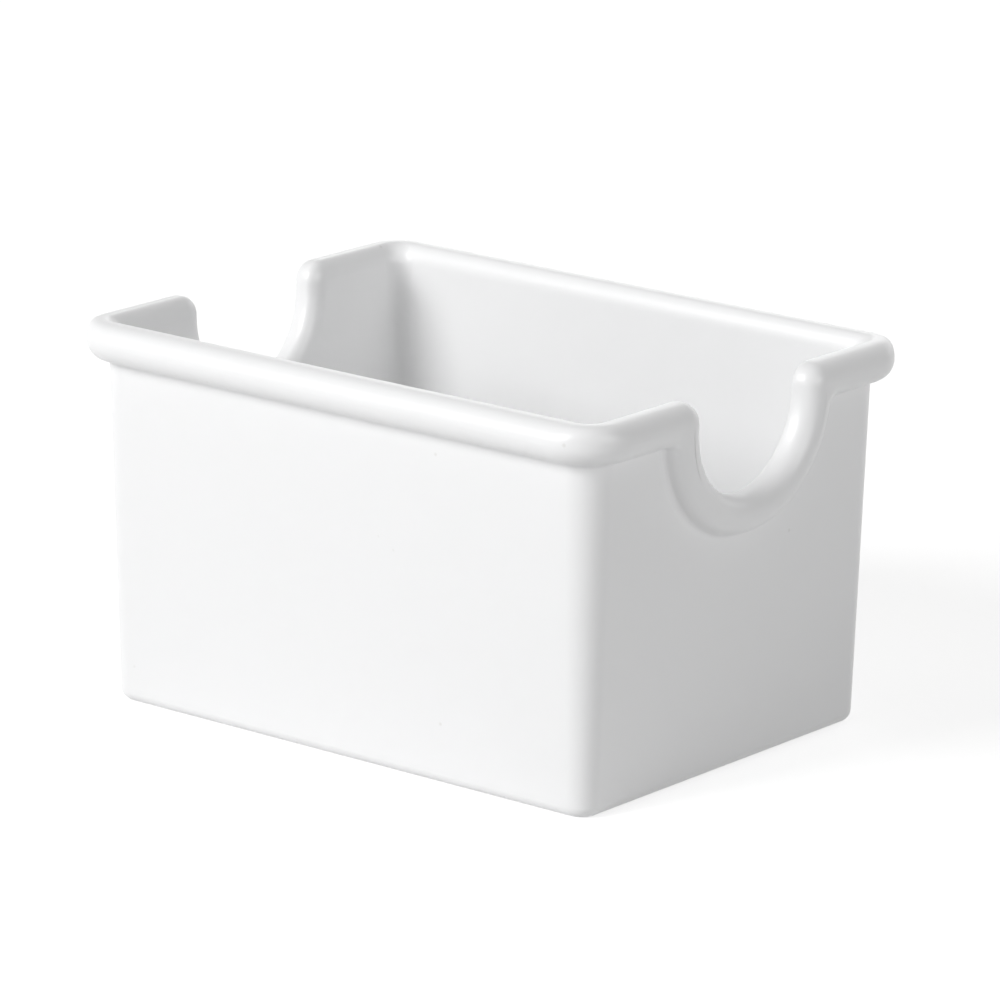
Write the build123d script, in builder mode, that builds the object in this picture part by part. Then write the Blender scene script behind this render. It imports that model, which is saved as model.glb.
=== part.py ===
from build123d import *
import os
from math import cos, hypot, radians, sin, tan

# Sugar packet holder: an open, straight-sided tub with a half-round rim. The rim dips
# round a finger notch in each short end. All sizes are in millimetres.
# +X runs along the long side, +Y across it and +Z up. The origin is on the table, under
# the middle of the tub.

# Size over the rim
overall_length = 90.0
overall_width = 68.0
overall_height = 52.5

# Walls and floor; the walls lean out by the draft, and the bay is the space for the packets
wall_thickness = 1.8
floor_thickness = 2.6
draft_angle = 1.75
bay_corner_radius = 1.3
bay_floor_fillet = 1.1

# Rim, a rounded band that stands out from the walls; its lip rounds down into the bay
rim_height = 5.3
rim_projection = 3.0
rim_rounding = 2.6
lip_width = 1.7
lip_drop = 2.8

# Finger notch in each end: straight sides, then a half circle
notch_width = 22.8
notch_side = 3.4
notch_corner_radius = 2.9

# Foot band round the underside
foot_width = 4.6
foot_height = 0.8
foot_edge_radius = 1.6

# The most that a rounding may take: of the piece it sits on, and of a height that it rounds from
# both sides
rounding_share = 0.9
half_share = 0.49

# Every side leans alike: "out" is square to a wall and "up" runs along it
draft = radians(draft_angle)
lean_cos = cos(draft)
lean_sin = sin(draft)
lean_tan = tan(draft)

# Roundings are limited by the walls that they sit on
bead_radius = min(rim_rounding, half_share * rim_height, rim_projection)
bead_out = rim_projection - bead_radius
notch_rounding = min(notch_corner_radius, rounding_share * notch_side)
lip_across = min(lip_width, rounding_share * (wall_thickness + bead_out))
lip_down = min(lip_drop, rounding_share * rim_height, notch_rounding)
bay_fillet = min(bay_floor_fillet, rounding_share * bay_corner_radius)
foot_rounding = min(foot_edge_radius, rounding_share * foot_width, rounding_share * floor_thickness)

# The rim's datum is the top of the walls' outer face, set so that the lip's crest has the full height
lip_rise = hypot(lip_across * lean_sin, lip_down * lean_cos) - lip_down * lean_cos
datum_z = overall_height - (wall_thickness - lip_across) * lean_sin - lip_rise
wall_across = wall_thickness / lean_cos
bay_to_datum = wall_across + (datum_z - floor_thickness) * lean_tan

# Plan: all outlines are offsets of one core rectangle, whose corners are the corner axes
datum_offset = bay_corner_radius + bay_to_datum
rim_offset = datum_offset + bead_out * lean_cos - bead_radius * lean_sin + bead_radius
core_x = overall_length / 2 - rim_offset
core_y = overall_width / 2 - rim_offset

notch_radius = notch_width / 2
notch_corner_y = notch_radius + notch_rounding


def outer_offset(height):
    """Distance of the walls' outer face from the core rectangle at a height."""
    return datum_offset - (datum_z - height) * lean_tan


def end_point(across, up):
    """Point on the right end's outer face: across the end from its middle, up from the datum."""
    return (core_x + datum_offset + up * lean_sin, across, datum_z + up * lean_cos)


def section_plane(point, side, edge=None):
    """Plane square to the rim: local X points out of the wall and local Y to the rim's edge."""
    out = Vector(side[0] * lean_cos, side[1] * lean_cos, -lean_sin)
    upward = Vector(side[0] * lean_sin, side[1] * lean_sin, lean_cos)
    return Plane(origin=point, x_dir=out, z_dir=out.cross(edge or upward))


right_side = (1, 0)
back_side = (0, 1)
end_out = Vector(lean_cos, 0, -lean_sin)
to_notch = Vector(0, -1, 0)
back_datum = (0, core_y + datum_offset, datum_z)
corner_datum = end_point(core_y, 0)
corner_axis = Axis((core_x, core_y, 0), (0, 0, 1))


def draw_rim_section():
    """Section of the rim: flat underside, rounded outside, rounded lip, straight inside."""
    with BuildLine() as outline:
        Line((-wall_thickness, -rim_height), (bead_out, -rim_height))
        JernArc((bead_out, -rim_height), (1, 0), bead_radius, 90)
        Line((rim_projection, bead_radius - rim_height), (rim_projection, -bead_radius))
        JernArc((rim_projection, -bead_radius), (0, 1), bead_radius, 90)
        Line((bead_out, 0), (lip_across - wall_thickness, 0))
        EllipticalCenterArc((lip_across - wall_thickness, -lip_down), lip_across, lip_down, 90, arc_size=90)
        Line((-wall_thickness, -lip_down), (-wall_thickness, -rim_height))
    make_face(outline.edges())


def draw_wall_section():
    """Section of a wall in plan offset and height, with its fillet onto the floor."""
    crease_z = datum_z - rim_height * lean_cos
    crease_offset = outer_offset(crease_z)
    inner_top = (crease_offset - wall_thickness * lean_cos, crease_z + wall_thickness * lean_sin)
    fillet_reach = bay_fillet * tan((radians(90) + draft) / 2)
    foot_end = (bay_corner_radius - fillet_reach, floor_thickness)
    fillet_top = (bay_corner_radius + fillet_reach * lean_sin, floor_thickness + fillet_reach * lean_cos)
    with BuildLine() as outline:
        Line((outer_offset(floor_thickness), floor_thickness), (crease_offset, crease_z))
        Line((crease_offset, crease_z), inner_top)
        Line(inner_top, fillet_top)
        TangentArc(foot_end, fillet_top, tangent=(1, 0))
        Line(foot_end, (outer_offset(floor_thickness), floor_thickness))
    make_face(outline.edges())


# Rim: one quarter, run by run from the middle of the back to the middle of the right end's notch
with BuildPart() as rim:
    with BuildSketch(section_plane(back_datum, back_side)):
        draw_rim_section()
    extrude(amount=core_x)
    with BuildSketch(section_plane(corner_datum, right_side)):
        draw_rim_section()
    revolve(axis=corner_axis, revolution_arc=90)
    with BuildSketch(section_plane(corner_datum, right_side)):
        draw_rim_section()
    extrude(amount=core_y - notch_corner_y)
    with BuildSketch(section_plane(end_point(notch_corner_y, 0), right_side)):
        draw_rim_section()
        with Locations((0, -notch_rounding / 2)):
            Rectangle(2 * overall_length, notch_rounding, mode=Mode.INTERSECT)
    revolve(axis=Axis(end_point(notch_corner_y, -notch_rounding), end_out), revolution_arc=90)
    with BuildSketch(section_plane(end_point(notch_radius, -notch_rounding), right_side, to_notch)):
        draw_rim_section()
    extrude(amount=notch_side - notch_rounding)
    with BuildSketch(section_plane(end_point(notch_radius, -notch_side), right_side, to_notch)):
        draw_rim_section()
    revolve(axis=Axis(end_point(0, -notch_side), -end_out), revolution_arc=90)
    mirror(about=Plane.XZ)
    mirror(about=Plane.YZ)

rim.part.label = "rim"

# Back wall: a straight run with half a corner at each end
with BuildPart() as back_wall:
    with BuildSketch(Plane((0, core_y, 0), x_dir=(0, 1, 0), z_dir=(1, 0, 0))):
        draw_wall_section()
    extrude(amount=core_x)
    with BuildSketch(Plane((core_x, core_y, 0), x_dir=(0, 1, 0), z_dir=(1, 0, 0))):
        draw_wall_section()
    revolve(axis=corner_axis, revolution_arc=-45)
    mirror(about=Plane.YZ)

back_wall.part.label = "back_wall"

# Right end wall: the same section, cut away below the rim where it dips round the notch
with BuildPart() as right_end_wall:
    with BuildSketch(Plane((core_x, 0, 0), x_dir=(1, 0, 0), z_dir=(0, -1, 0))):
        draw_wall_section()
    extrude(amount=-core_y)
    with BuildSketch(Plane((core_x, core_y, 0), x_dir=(1, 0, 0), z_dir=(0, -1, 0))):
        draw_wall_section()
    revolve(axis=corner_axis, revolution_arc=45)
    mirror(about=Plane.XZ)
    with BuildSketch(Plane(end_point(0, -notch_side), x_dir=(0, 1, 0), z_dir=end_out)):
        Circle(notch_radius + rim_height)
        with Locations((0, notch_side / 2)):
            Rectangle(2 * (notch_radius + rim_height), notch_side)
    extrude(amount=2 * wall_thickness, both=True, mode=Mode.SUBTRACT)

right_end_wall.part.label = "right_end_wall"

# The other two walls are mirror images
with BuildPart() as front_wall:
    mirror(back_wall.part, about=Plane.XZ)

front_wall.part.label = "front_wall"

with BuildPart() as left_end_wall:
    mirror(right_end_wall.part, about=Plane.YZ)

left_end_wall.part.label = "left_end_wall"

# Base: the floor, which stands on a narrow band round its underside
foot_offset = outer_offset(0)
foot_length = 2 * (core_x + foot_offset)
foot_breadth = 2 * (core_y + foot_offset)
with BuildPart() as base:
    with BuildSketch():
        RectangleRounded(foot_length, foot_breadth, foot_offset)
    extrude(amount=floor_thickness, taper=-draft_angle)
    fillet(base.faces().sort_by(Axis.Z)[0].edges(), foot_rounding)
    with BuildSketch():
        RectangleRounded(foot_length - 2 * foot_width, foot_breadth - 2 * foot_width, bay_corner_radius)
    extrude(amount=foot_height, mode=Mode.SUBTRACT)

base.part.label = "base"

os.makedirs("parts", exist_ok=True)
for piece in (base, front_wall, back_wall, left_end_wall, right_end_wall, rim):
    export_step(piece.part, f"parts/{piece.part.label}.step")
    print(piece.part.label, len(piece.part.solids()), "solid", round(piece.part.volume, 1), "mm3")
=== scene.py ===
# %% [markdown]
# # A white tub for sugar packets
# The real thing is one moulding in polished white melamine: a floor, four walls that lean out a
# little, and a thick rounded rim that dips round a finger notch in each short end. The packed
# model is loaded first, because every size and place below is measured from it.

from collections import namedtuple
from math import asin, atan2, cos, degrees, hypot, pi, radians, sin, sqrt, tan

import bmesh
import bpy
from mathutils import Matrix, Vector


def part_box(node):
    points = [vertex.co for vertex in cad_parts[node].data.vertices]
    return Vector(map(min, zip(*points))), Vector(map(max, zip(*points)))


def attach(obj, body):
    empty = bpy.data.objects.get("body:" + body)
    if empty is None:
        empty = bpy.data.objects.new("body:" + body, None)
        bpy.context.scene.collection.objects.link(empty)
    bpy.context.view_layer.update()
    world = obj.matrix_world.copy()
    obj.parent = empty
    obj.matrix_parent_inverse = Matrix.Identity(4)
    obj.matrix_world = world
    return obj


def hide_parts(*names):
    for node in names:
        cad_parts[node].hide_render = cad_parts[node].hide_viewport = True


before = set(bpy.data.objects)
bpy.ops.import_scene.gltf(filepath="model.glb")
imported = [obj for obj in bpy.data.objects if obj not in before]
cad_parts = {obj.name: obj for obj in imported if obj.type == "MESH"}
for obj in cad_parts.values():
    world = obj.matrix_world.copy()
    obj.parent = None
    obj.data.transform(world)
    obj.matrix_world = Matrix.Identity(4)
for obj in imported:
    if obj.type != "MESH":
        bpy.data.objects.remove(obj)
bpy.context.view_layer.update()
print("solids:", ", ".join(sorted(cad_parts)))

# %% [markdown]
# ## The sizes that the mould was cut to
# The overall sizes are read from the loaded solids. The rest are the mould's own sizes, and the
# values after them follow from those. All walls lean alike, so one pair of directions serves the
# whole tub: "out" is square to a wall, and "up" runs along it from the datum, the height where the
# rim's flat top meets the wall's outer face.

# %% Sizes of the moulding
MM = 0.001
rim_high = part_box("rim")[1]
base_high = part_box("base")[1]

wall_thickness = 1.8 * MM
floor_thickness = base_high.z
draft_degrees = 1.75
draft = radians(draft_degrees)
bay_corner_radius = 1.3 * MM
bay_fillet = 1.1 * MM

rim_height = 5.3 * MM
rim_projection = 3.0 * MM
bead_share = 0.49
bead_radius = bead_share * rim_height
lip_width = 1.7 * MM
lip_drop = 2.8 * MM

notch_radius = 11.4 * MM
notch_side = 3.4 * MM
notch_corner_radius = 2.9 * MM

foot_width = 4.6 * MM
foot_height = 0.8 * MM
foot_edge_radius = 1.6 * MM

bead_out = rim_projection - bead_radius
lip_rise = hypot(lip_width * sin(draft), lip_drop * cos(draft)) - lip_drop * cos(draft)
datum_z = rim_high.z - (wall_thickness - lip_width) * sin(draft) - lip_rise
datum_offset = bay_corner_radius + wall_thickness / cos(draft) + (datum_z - floor_thickness) * tan(draft)
rim_offset = datum_offset + bead_out * cos(draft) - bead_radius * sin(draft) + bead_radius
core_x = rim_high.x - rim_offset
core_y = rim_high.y - rim_offset
foot_offset = datum_offset - datum_z * tan(draft)
print(f"core rectangle {2 * core_x / MM:.2f} x {2 * core_y / MM:.2f} mm, datum at {datum_z / MM:.2f} mm")

# %% [markdown]
# ## One seamless skin
# The photograph shows no seam anywhere: wall runs into rim and floor through small roundings. Six
# solids that touch would show a line wherever two of them meet, so the visible tub is a single
# closed mesh instead. A cage under a Subdivision modifier would give soft shapes, but not these exact
# radii. So the skin is made like a knitted sock: rings of points go round the tub, each ring follows
# one line of the section, and neighbouring rings are joined by quads. A station is one place on the
# way round, and it knows where its rim edge, its crease and its foot are. The notch needs care. There
# the rim's edge and the crease below it dip together, so a station carries both points, and for each
# the way that leads square to it along the wall.

# %% Stations along one quarter of the tub
Station = namedtuple("Station", "origin run side foot edge edge_way crease crease_way")

notch_steps = 36
notch_corner_steps = 14
corner_steps = 24
run_steps = 4
crease_corner_radius = 1.0 * MM

crease_radius = notch_radius + rim_height
crease_turn_up = -rim_height - crease_corner_radius
crease_reach = crease_radius + crease_corner_radius
crease_turn_across = sqrt(crease_reach ** 2 - (crease_turn_up + notch_side) ** 2)
crease_dip = asin((crease_turn_up + notch_side) / crease_reach)
notch_turn = Vector((notch_radius + notch_corner_radius, -notch_corner_radius))
crease_turn = Vector((crease_turn_across, crease_turn_up))
notch_centre = Vector((0.0, -notch_side))
upward = Vector((0.0, 1.0))


def direction(angle):
    """Unit direction at an angle from the first axis."""
    return Vector((cos(angle), sin(angle)))


def between(start, end, share):
    """Value at a share of the way from start to end."""
    return start + (end - start) * share


def notch_pairs():
    """Edge and crease of the end wall, from the middle of the notch to the corner of the tub."""
    # The half circle, and one step more for the straight side above it
    for step in range(notch_steps + 2):
        edge_way = -direction(min(0.0, between(-pi / 2, 0.0, step / notch_steps)))
        crease_way = -direction(between(-pi / 2, crease_dip, step / (notch_steps + 1)))
        edge = notch_centre - edge_way * notch_radius
        if step > notch_steps:
            edge = Vector((notch_radius, -notch_corner_radius))
        yield edge, edge_way, notch_centre - crease_way * crease_radius, crease_way
    for step in range(1, notch_corner_steps + 1):
        share = step / notch_corner_steps
        edge_way = direction(between(pi, pi / 2, share))
        crease_way = direction(between(pi + crease_dip, pi / 2, share))
        edge = notch_turn + edge_way * notch_corner_radius
        yield edge, edge_way, crease_turn + crease_way * crease_corner_radius, crease_way
    for step in range(1, run_steps + 1):
        share = step / run_steps
        edge = Vector((between(notch_turn.x, core_y, share), 0.0))
        crease = Vector((between(crease_turn.x, core_y, share), -rim_height))
        yield edge, upward, crease, upward


def plain_station(origin, run, side, across):
    """Station on a run or corner where the rim is level."""
    edge = Vector((across, 0.0))
    return Station(origin, run, side, across, edge, upward, edge - upward * rim_height, upward)


def quarter_stations():
    """Stations from the middle of the right notch round one corner to the middle of the back."""
    pairs = list(notch_pairs())
    lengths = [0.0]
    for before, after in zip(pairs, pairs[1:]):
        lengths.append(lengths[-1] + (after[0] - before[0]).length)
    end_origin = Vector((core_x, 0.0))
    end_run = Vector((0.0, 1.0))
    stations = []
    for pair, length in zip(pairs, lengths):
        foot = core_y * length / lengths[-1]
        stations.append(Station(end_origin, end_run, Vector((1.0, 0.0)), foot, *pair))
    corner = Vector((core_x, core_y))
    for step in range(1, corner_steps + 1):
        side = direction(pi / 2 * step / corner_steps)
        stations.append(plain_station(corner, Vector((0.0, 0.0)), side, 0.0))
    for step in range(1, run_steps + 1):
        across = core_x * (1 - step / run_steps)
        back_origin = Vector((0.0, core_y))
        stations.append(plain_station(back_origin, Vector((1.0, 0.0)), upward, across))
    return stations


quarter = quarter_stations()
print(len(quarter), "stations in a quarter of the tub")

# %% [markdown]
# ## Rings
# Three kinds of ring are enough. A plan ring lies at one height and follows the foot or the floor.
# A crease ring keeps its distance from the line where rim and wall meet. An edge ring keeps its
# distance from the rim's top edge, in the notches too. Each is worked out on a quarter of the tub
# and mirrored twice, because the tub is the same left to right and front to back.

# %% Three kinds of ring
def mirrored_round(points):
    """Full ring from the points of one quarter."""
    half = points + [Vector((-p.x, p.y, p.z)) for p in reversed(points[:-1])]
    return half + [Vector((p.x, -p.y, p.z)) for p in reversed(half[1:-1])]


def plan_ring(offset, height, inset=0.0):
    """Ring at one height, at an offset from the core rectangle or from a smaller one."""
    points = []
    for station in quarter:
        core = station.origin + station.run * station.foot
        x = core.x * (1 - inset / core_x) + station.side.x * offset
        y = core.y * (1 - inset / core_y) + station.side.y * offset
        points.append(Vector((x, y, height)))
    return mirrored_round(points)


def wall_point(station, spot, out, pull=0.0):
    """Point at a spot (across, up) of a wall's outer face, moved out square to the wall."""
    reach = datum_offset + spot.y * sin(draft) + out * cos(draft)
    plan = station.origin + station.run * spot.x + station.side * reach
    if not station.run.length:
        plan += (Vector((1.0, 1.0)) - station.side) * pull
    return Vector((plan.x, plan.y, datum_z + spot.y * cos(draft) - out * sin(draft)))


def crease_ring(out, above):
    """Ring at a distance above the crease."""
    return mirrored_round([wall_point(s, s.crease + s.crease_way * above, out) for s in quarter])


def edge_ring(out, below, pull):
    """Ring at a distance below the rim's top edge, with its corners pulled out to a smaller radius."""
    return mirrored_round([wall_point(s, s.edge - s.edge_way * below, out, pull) for s in quarter])


def arc(centre, radius, start, end, steps):
    """Points along an arc, as (first, second) pairs."""
    points = []
    for step in range(steps + 1):
        angle = radians(between(start, end, step / steps))
        points.append((centre[0] + radius * cos(angle), centre[1] + radius * sin(angle)))
    return points


print("a ring has", len(plan_ring(foot_offset, 0.0)), "points")

# %% [markdown]
# ## The section, ring by ring
# The section starts under the tub, in the shallow recess, and goes over the foot band, up the
# outside, round the rim, down the inside and out onto the floor. Every change of direction is an
# arc, as in a mould that has to let go of the part. The crest of the rim turns its corners more
# sharply than the bead below it, so the rings near the crest have their corners pulled out.

# %% Rings of the underside and the foot
soft_edge = 0.3 * MM
soft_steps = 4
foot_steps = 8
recess_inset = bay_corner_radius + foot_width - foot_offset

recess_profile = arc((bay_corner_radius - soft_edge, foot_height - soft_edge), soft_edge, 90, 0, soft_steps)
recess_profile += arc((bay_corner_radius + soft_edge, soft_edge), soft_edge, 180, 270, soft_steps)
foot_centre = foot_offset - foot_edge_radius * (1 - sin(draft)) / cos(draft)
foot_profile = arc((foot_centre, foot_edge_radius), foot_edge_radius, -90, -draft_degrees, foot_steps)

rings = [plan_ring(offset, height, recess_inset) for offset, height in recess_profile]
rings += [plan_ring(offset, height) for offset, height in foot_profile]
underside_rings = len(rings)
print(underside_rings, "rings of", len(rings[0]), "points under the tub")

# %% Rings of the rim
crease_fillet = 0.8 * MM
crease_steps = 6
bead_steps = 12
lip_steps = 14
crest_pull = 1.6 * MM

crease_drop = sqrt((bead_radius + crease_fillet) ** 2 - (crease_fillet - bead_out) ** 2)
crease_centre = (crease_fillet, bead_radius - crease_drop)
under_angle = degrees(atan2(crease_drop, bead_out - crease_fillet))
crease_profile = arc(crease_centre, crease_fillet, 180, under_angle, crease_steps)
crease_profile += arc((bead_out, bead_radius), bead_radius, under_angle - 180, 0, bead_steps)[1:]
bead_arc = arc((bead_out, -bead_radius), bead_radius, 0, 90, bead_steps)
round_lip = arc((0.0, 0.0), 1.0, 90, 180, lip_steps)
lip_arc = [(lip_width * (1 + out) - wall_thickness, lip_drop * (up - 1)) for out, up in round_lip]

rings += [crease_ring(out, above) for out, above in crease_profile]
for profile, depth in ((bead_arc, bead_radius), (lip_arc, lip_drop)):
    for out, up in profile:
        rings.append(edge_ring(out, -up, crest_pull * (1 + up / depth) ** 2))
print(len(rings) - underside_rings, "rings round the rim")

# %% Rings of the floor
floor_steps = 8
fillet_reach = bay_fillet * tan((pi / 2 + draft) / 2)
floor_centre = (bay_corner_radius - fillet_reach, floor_thickness + bay_fillet)
floor_profile = arc(floor_centre, bay_fillet, -draft_degrees, -90, floor_steps)
rings += [plan_ring(offset, height) for offset, height in floor_profile]
print(len(rings), "rings in all")

# %% [markdown]
# ## Knitting the rings together
# Quads join each ring to the next. The recess and the floor are closed by thin triangles that meet
# in the middle of the tub, so that there is no many-sided face. The first rings, in the recess and on
# the foot band, get the second of two finishes. A Weighted Normal modifier lets the large flat faces
# decide the shading where they meet a rounding, and they stay flat.

# %% Make the skin
POLISHED, MATT = 0, 1


def close_ring(mesh, row, finish):
    """Flat cap of triangles that meet in the middle of the tub."""
    middle = mesh.verts.new((0.0, 0.0, row[0].co.z))
    for here, there in zip(row, row[1:] + row[:1]):
        wedge = mesh.faces.new((middle, here, there))
        wedge.material_index = finish


def knit(name, rings, matt_rows):
    """Closed mesh object through the rings, capped at both ends, with its first rows matt."""
    mesh = bmesh.new()
    rows = [[mesh.verts.new(point) for point in ring] for ring in rings]
    count = len(rows[0])
    for number, (below, above) in enumerate(zip(rows, rows[1:])):
        for here in range(count):
            there = (here + 1) % count
            quad = mesh.faces.new((below[here], below[there], above[there], above[here]))
            quad.material_index = MATT if number < matt_rows else POLISHED
    close_ring(mesh, rows[0], MATT)
    close_ring(mesh, rows[-1], POLISHED)
    bmesh.ops.recalc_face_normals(mesh, faces=mesh.faces)
    data = bpy.data.meshes.new(name)
    mesh.to_mesh(data)
    mesh.free()
    data.shade_smooth()
    made = bpy.data.objects.new(name, data)
    bpy.context.collection.objects.link(made)
    return made


moulding = knit("moulding", rings, len(recess_profile))
moulding.modifiers.new("flat walls stay flat", "WEIGHTED_NORMAL")
print(len(moulding.data.polygons), "faces in the skin")

# %% Put the skin in the frame
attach(moulding, "root")
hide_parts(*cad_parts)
print("the skin takes the place of", len(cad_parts), "solids")

# %% [markdown]
# ## Polished melamine
# Melamine is a hard, dense plastic, white all through. The mould gives it a soft gloss where it
# shows, and a duller face underneath, so there are two materials of one kind. Neither is quite even:
# here and there a fleck of filler shows, the surface ripples a little where it shrank, and its gloss
# is a touch uneven. Both materials use these effects, so each effect is a node group.

# %% Flecks in the plastic
def add_node(tree, kind, **values):
    """New node with its named inputs set; underscores stand for spaces."""
    node = tree.nodes.new(kind)
    for name, value in values.items():
        node.inputs[name.replace("_", " ")].default_value = value
    return node


def new_group(name, inputs, outputs):
    """Empty shader node group with named sockets, and its two end nodes."""
    group = bpy.data.node_groups.new(name, "ShaderNodeTree")
    for socket, kind in inputs:
        group.interface.new_socket(socket, in_out="INPUT", socket_type=kind)
    for socket, kind in outputs:
        group.interface.new_socket(socket, in_out="OUTPUT", socket_type=kind)
    return group, group.nodes.new("NodeGroupInput"), group.nodes.new("NodeGroupOutput")


VECTOR = "NodeSocketVector"
FLOAT = "NodeSocketFloat"
fleck_core = 0.018
fleck_rim = 0.04
flecks, given, result = new_group("flecks", [("Place", VECTOR), ("Density", FLOAT)], [("Mask", FLOAT)])
cells = add_node(flecks, "ShaderNodeTexVoronoi")
grain_size = add_node(
    flecks, "ShaderNodeMapRange", From_Min=fleck_core, From_Max=fleck_rim, To_Min=1.0, To_Max=0.0
)
flecks.links.new(given.outputs["Place"], cells.inputs["Vector"])
flecks.links.new(given.outputs["Density"], cells.inputs["Scale"])
flecks.links.new(cells.outputs["Distance"], grain_size.inputs["Value"])
flecks.links.new(grain_size.outputs["Result"], result.inputs["Mask"])
print("group:", flecks.name)

# %% Ripple and uneven gloss
patch_density = 60.0
ripple, given, result = new_group(
    "moulded ripple",
    [("Place", VECTOR), ("Density", FLOAT)],
    [("Height", FLOAT), ("Patches", FLOAT)],
)
swell = add_node(ripple, "ShaderNodeTexNoise", Detail=1.0, Roughness=0.4)
patches = add_node(ripple, "ShaderNodeTexNoise", Scale=patch_density, Detail=3.0)
ripple.links.new(given.outputs["Place"], swell.inputs["Vector"])
ripple.links.new(given.outputs["Density"], swell.inputs["Scale"])
ripple.links.new(given.outputs["Place"], patches.inputs["Vector"])
ripple.links.new(swell.outputs["Fac"], result.inputs["Height"])
ripple.links.new(patches.outputs["Fac"], result.inputs["Patches"])
print("group:", ripple.name)

# %% Materials of the tub
melamine_white = (0.93, 0.932, 0.935, 1.0)
filler_grey = (0.84, 0.84, 0.83, 1.0)
melamine_ior = 1.5
fleck_density = 120.0
ripple_density = 90.0


def place_group(tree, group, place, density):
    """Group node in a material, fed with the object's own coordinates."""
    node = tree.nodes.new("ShaderNodeGroup")
    node.node_tree = group
    node.inputs["Density"].default_value = density
    tree.links.new(place.outputs["Object"], node.inputs["Place"])
    return node


def melamine(name, smooth, rough, ripple_depth):
    """Melamine with its flecks, its ripple and a gloss that varies between two roughnesses."""
    material = bpy.data.materials.new(name)
    material.use_nodes = True
    tree = material.node_tree
    surface = tree.nodes["Principled BSDF"]
    surface.inputs["IOR"].default_value = melamine_ior
    place = tree.nodes.new("ShaderNodeTexCoord")
    fleck_mask = place_group(tree, flecks, place, fleck_density)
    surface_ripple = place_group(tree, ripple, place, ripple_density)

    colour = add_node(tree, "ShaderNodeMix")
    colour.data_type = "RGBA"
    colour.inputs["A"].default_value = melamine_white
    colour.inputs["B"].default_value = filler_grey
    tree.links.new(fleck_mask.outputs["Mask"], colour.inputs["Factor"])
    tree.links.new(colour.outputs["Result"], surface.inputs["Base Color"])

    gloss = add_node(tree, "ShaderNodeMapRange", To_Min=smooth, To_Max=rough)
    tree.links.new(surface_ripple.outputs["Patches"], gloss.inputs["Value"])
    tree.links.new(gloss.outputs["Result"], surface.inputs["Roughness"])

    bump = add_node(tree, "ShaderNodeBump", Strength=1.0, Distance=ripple_depth)
    tree.links.new(surface_ripple.outputs["Height"], bump.inputs["Height"])
    tree.links.new(bump.outputs["Normal"], surface.inputs["Normal"])
    return material


polished = melamine("polished melamine", smooth=0.29, rough=0.37, ripple_depth=0.02 * MM)
matt = melamine("matt underside", smooth=0.42, rough=0.55, ripple_depth=0.03 * MM)
moulding.data.materials.append(polished)
moulding.data.materials.append(matt)
print("materials:", [material.name for material in moulding.data.materials])

# %% [markdown]
# ## A white table
# The tub stands on a plain table. Paper white would throw so much light back that the tub would lose
# its shades, so the table's own colour is a light grey. A glow that only the camera and reflections
# see makes it white in the picture without lighting the room, and the tub's shadow stays. From below,
# the table can be seen through.

# %% Floor
floor_reach = 3.0
floor_data = bpy.data.meshes.new("floor")
floor_corners = [(x, y, 0.0) for x, y in ((-1, -1), (1, -1), (1, 1), (-1, 1))]
floor_data.from_pydata([Vector(c) * floor_reach for c in floor_corners], [], [(0, 1, 2, 3)])
floor = bpy.data.objects.new("floor", floor_data)
bpy.context.collection.objects.link(floor)
print("floor", 2 * floor_reach, "m across")

# %% Finish of the table
table_grey = (0.68, 0.68, 0.68, 1.0)
table_glow = 0.66


def seen_rays(tree):
    """Value that is 1 for camera, glossy and transmission rays, and 0 for the light itself."""
    rays = tree.nodes.new("ShaderNodeLightPath")
    total = rays.outputs["Is Camera Ray"]
    for name in ("Is Glossy Ray", "Is Transmission Ray"):
        either = tree.nodes.new("ShaderNodeMath")
        either.operation = "MAXIMUM"
        tree.links.new(total, either.inputs[0])
        tree.links.new(rays.outputs[name], either.inputs[1])
        total = either.outputs["Value"]
    return total


table_top = bpy.data.materials.new("white table top")
table_top.use_nodes = True
tree = table_top.node_tree
tree.nodes.clear()
paint = add_node(tree, "ShaderNodeBsdfDiffuse", Color=table_grey)
glow = tree.nodes.new("ShaderNodeEmission")
glow_amount = tree.nodes.new("ShaderNodeMath")
glow_amount.operation = "MULTIPLY"
glow_amount.inputs[1].default_value = table_glow
both = tree.nodes.new("ShaderNodeAddShader")
see_through = tree.nodes.new("ShaderNodeBsdfTransparent")
facing = tree.nodes.new("ShaderNodeNewGeometry")
one_sided = tree.nodes.new("ShaderNodeMixShader")
table_output = tree.nodes.new("ShaderNodeOutputMaterial")
tree.links.new(seen_rays(tree), glow_amount.inputs[0])
tree.links.new(glow_amount.outputs["Value"], glow.inputs["Strength"])
tree.links.new(paint.outputs["BSDF"], both.inputs[0])
tree.links.new(glow.outputs["Emission"], both.inputs[1])
tree.links.new(facing.outputs["Backfacing"], one_sided.inputs["Fac"])
tree.links.new(both.outputs["Shader"], one_sided.inputs[1])
tree.links.new(see_through.outputs["BSDF"], one_sided.inputs[2])
tree.links.new(one_sided.outputs["Shader"], table_output.inputs["Surface"])
floor_data.materials.append(table_top)
print("table:", table_top.name)

# %% [markdown]
# ## Light and camera
# A soft key lamp at the front left lights the long wall and reaches over it to the back of the bay.
# A weak strip on the left and a low fill on the right give the ends their paler greys, and a large
# weak lamp behind keeps the back from going dark. The room adds a little light from all sides, and
# is white where the camera or a reflection sees it.

# %% Light
bpy.context.scene.view_settings.view_transform = "Standard"
lamp_distance = 1.2
room_strength = 0.2


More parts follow.
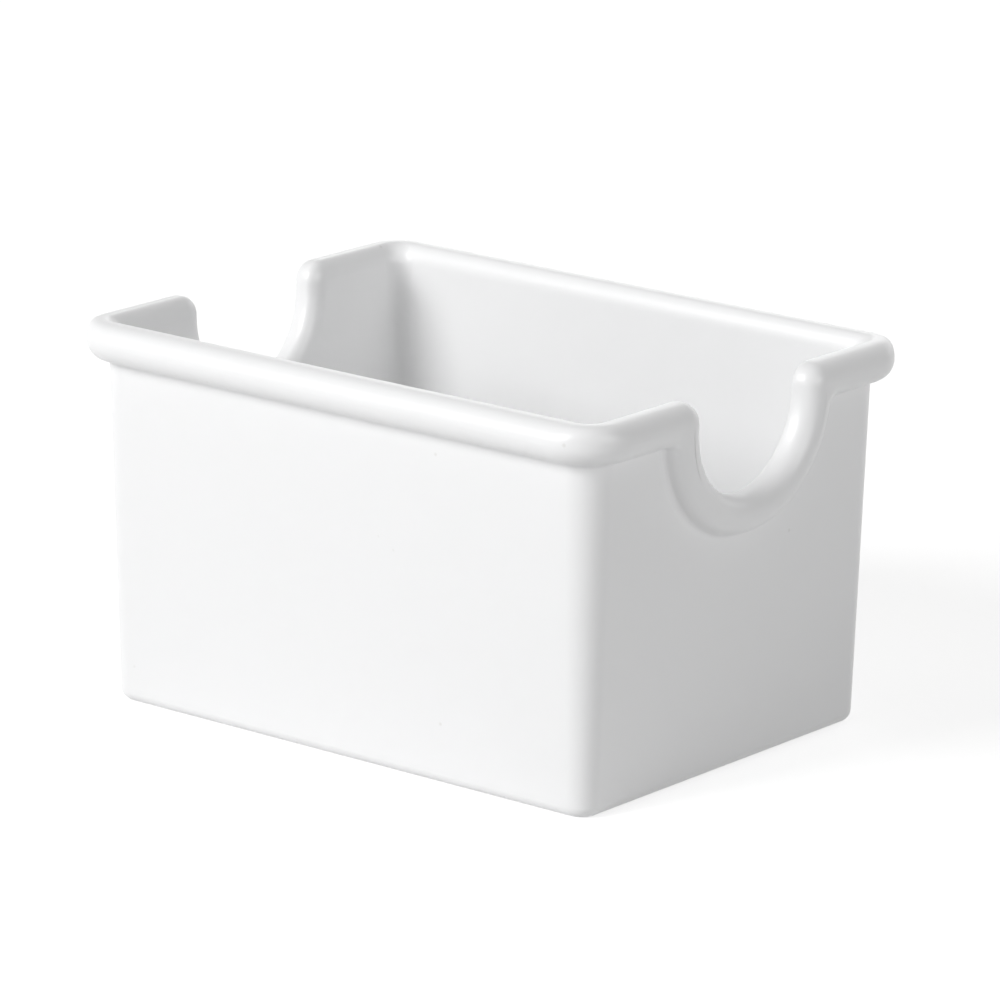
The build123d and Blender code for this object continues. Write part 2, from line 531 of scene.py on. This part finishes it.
def soft_lamp(name, azimuth, elevation, width, height, energy):
    """Area lamp that faces the tub, at angles from the front of the tub and from the table."""
    data = bpy.data.lights.new(name, "AREA")
    data.shape = "RECTANGLE"
    data.size = width
    data.size_y = height
    data.energy = energy
    lamp = bpy.data.objects.new(name, data)
    round_angle = radians(azimuth)
    rise = radians(elevation)
    toward = Vector((sin(round_angle) * cos(rise), -cos(round_angle) * cos(rise), sin(rise)))
    lamp.location = toward * lamp_distance
    lamp.rotation_euler = toward.to_track_quat("Z", "Y").to_euler()
    bpy.context.collection.objects.link(lamp)


soft_lamp("key lamp", -22, 30, 0.6, 0.6, 10.4)
soft_lamp("left strip", -72, 46, 0.25, 1.0, 0.6)
soft_lamp("right fill", 86, 18, 0.7, 0.5, 3.0)
soft_lamp("back lamp", -168, 20, 1.4, 0.6, 3.2)

world = bpy.data.worlds.new("soft room")
bpy.context.scene.world = world
world.use_nodes = True
tree = world.node_tree
room = tree.nodes["Background"]
room_light = add_node(tree, "ShaderNodeMapRange", To_Min=room_strength, To_Max=1.0)
tree.links.new(seen_rays(tree), room_light.inputs["Value"])
tree.links.new(room_light.outputs["Result"], room.inputs["Strength"])
room.inputs["Color"].default_value = (1.0, 1.0, 1.0, 1.0)

# %% [markdown]
# The camera stands far off with a long lens, as for a picture in a catalogue, so the edges of the tub
# run nearly parallel. Its place was fitted to the edges in the photograph.

# %% Camera
view_azimuth = radians(38.963)
view_elevation = radians(15.465)
view_roll = radians(0.725)
view_distance = 0.8547
lens_length = 231.77
sensor_width = 36.0
aim = Vector((0.00101, 0.00146, 0.02882))

camera_data = bpy.data.cameras.new("camera")
camera_data.sensor_width = sensor_width
camera_data.lens = lens_length
camera = bpy.data.objects.new("camera", camera_data)
turn = Matrix.Rotation(view_azimuth, 4, "Z") @ Matrix.Rotation(pi / 2 - view_elevation, 4, "X")
turn = turn @ Matrix.Rotation(view_roll, 4, "Z")
camera.matrix_world = Matrix.Translation(aim) @ turn @ Matrix.Translation((0.0, 0.0, view_distance))
bpy.context.collection.objects.link(camera)
bpy.context.scene.camera = camera
print("camera at", [round(value, 3) for value in camera.matrix_world.translation])
